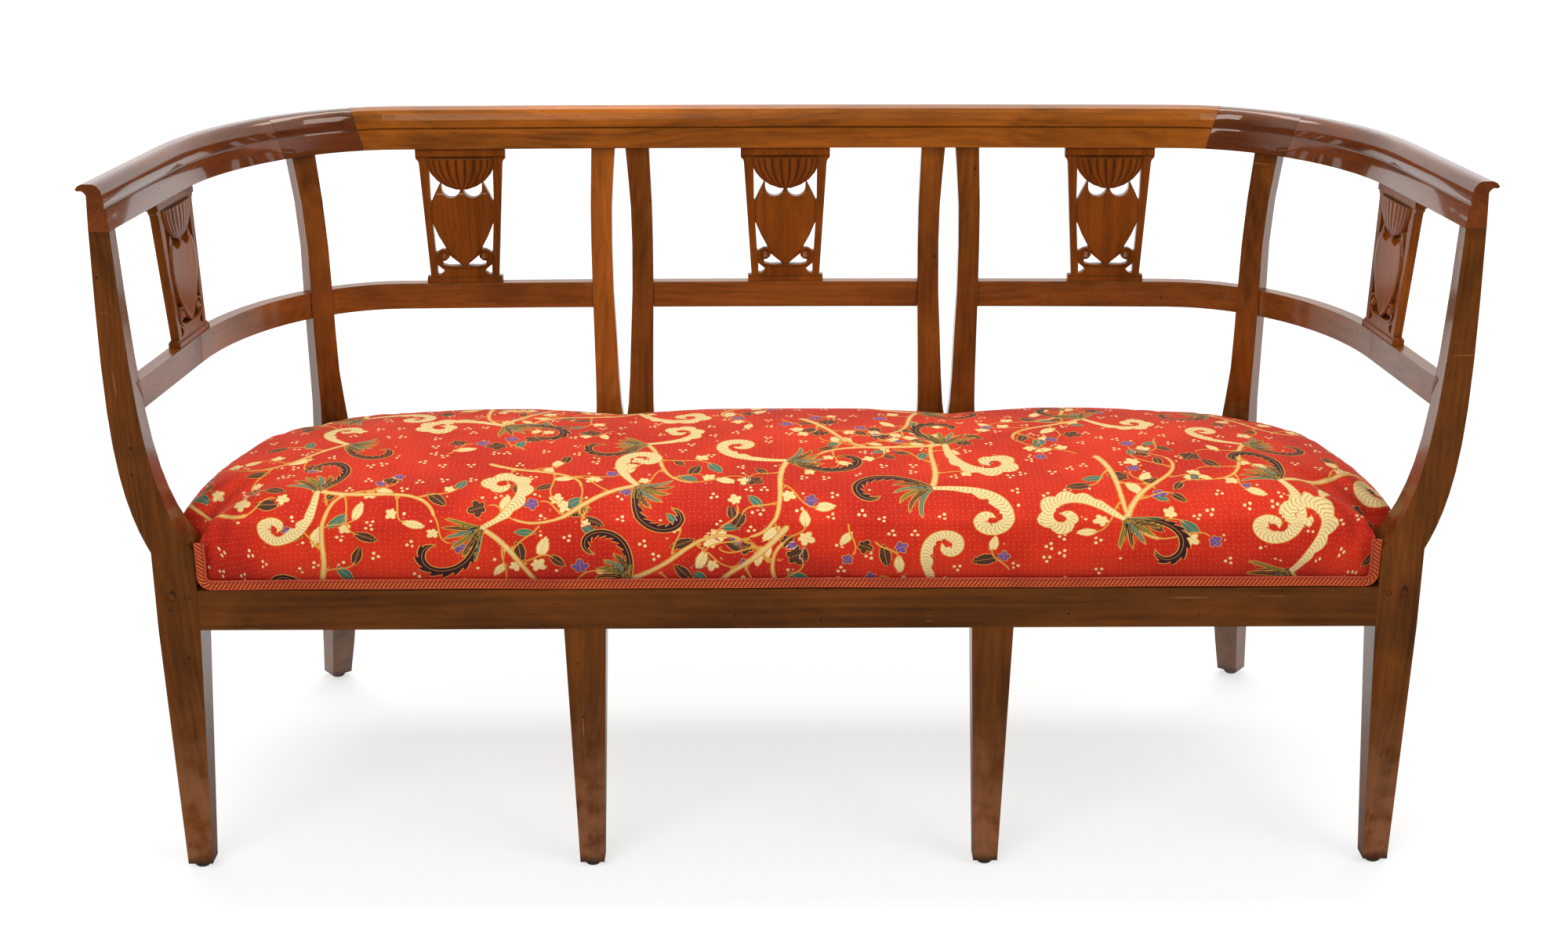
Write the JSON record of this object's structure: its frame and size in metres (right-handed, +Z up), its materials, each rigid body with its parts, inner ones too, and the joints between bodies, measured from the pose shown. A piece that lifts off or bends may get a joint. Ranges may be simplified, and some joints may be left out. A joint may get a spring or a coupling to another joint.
{
  "type": "settee",
  "caption": "Open-back wooden settee with a curved moulded crest, pierced splats, sabre rear legs and an upholstered seat in red printed cloth.",
  "frame": {"origin": "on the floor, under the middle of the whole settee in plan", "axes": "+Z up, the front faces -Y, +X along the length to the right as seen from the front"},
  "size_m": [1.5934, 0.6036, 0.86],
  "materials": {
    "golden_wood": "varnished golden-orange fruitwood",
    "dark_wood": "varnished dark red-brown fruitwood",
    "carved_wood": "varnished red-brown wood, carved and pierced",
    "frame_wood": "varnished mid-brown wood, worn and scratched at the feet",
    "peg_wood": "varnished dark wood",
    "plain_wood": "unvarnished inner framing wood",
    "printed_cloth": "red-orange printed cotton with flowering vines",
    "braid": "woven braid with red and orange diagonal stripes",
    "webbing": "jute webbing",
    "glide": "darkened metal"
  },
  "bodies": {
    "root": {"crest_back": "golden_wood", "crest_corner_right": "dark_wood", "crest_corner_left": "dark_wood", "crest_arm_right": "dark_wood", "crest_arm_left": "dark_wood", "splat_back_centre": "carved_wood", "splat_back_right": "carved_wood", "splat_back_left": "carved_wood", "splat_side_right": "carved_wood", "splat_side_left": "carved_wood", "front_post_right": "frame_wood", "front_post_left": "frame_wood", "corner_post_right": "frame_wood", "corner_post_left": "frame_wood", "middle_leg_right": "frame_wood", "middle_leg_left": "frame_wood", "back_post_right_inner": "frame_wood", "back_post_right_outer": "frame_wood", "back_post_left_inner": "frame_wood", "back_post_left_outer": "frame_wood", "mid_rail_back_centre": "frame_wood", "mid_rail_back_right": "frame_wood", "mid_rail_back_left": "frame_wood", "mid_rail_side_right": "frame_wood", "mid_rail_side_left": "frame_wood", "seat_rail_front": "frame_wood", "seat_rail_side_right": "frame_wood", "seat_rail_side_left": "frame_wood", "rail_peg_right": "peg_wood", "rail_peg_left": "peg_wood", "side_peg_right": "peg_wood", "side_peg_left": "peg_wood", "seat_rail_rear": "plain_wood", "seat_brace_right": "plain_wood", "seat_brace_left": "plain_wood", "corner_block_front_right": "plain_wood", "corner_block_front_left": "plain_wood", "corner_block_rear_right": "plain_wood", "corner_block_rear_left": "plain_wood", "seat_cushion": "printed_cloth", "seat_braid_front": "braid", "seat_braid_right": "braid", "seat_braid_left": "braid", "seat_webbing": "webbing", "glide_front_right": "glide", "glide_front_left": "glide", "glide_middle_right": "glide", "glide_middle_left": "glide", "glide_rear_right": "glide", "glide_rear_left": "glide"}
  },
  "joints": []
}
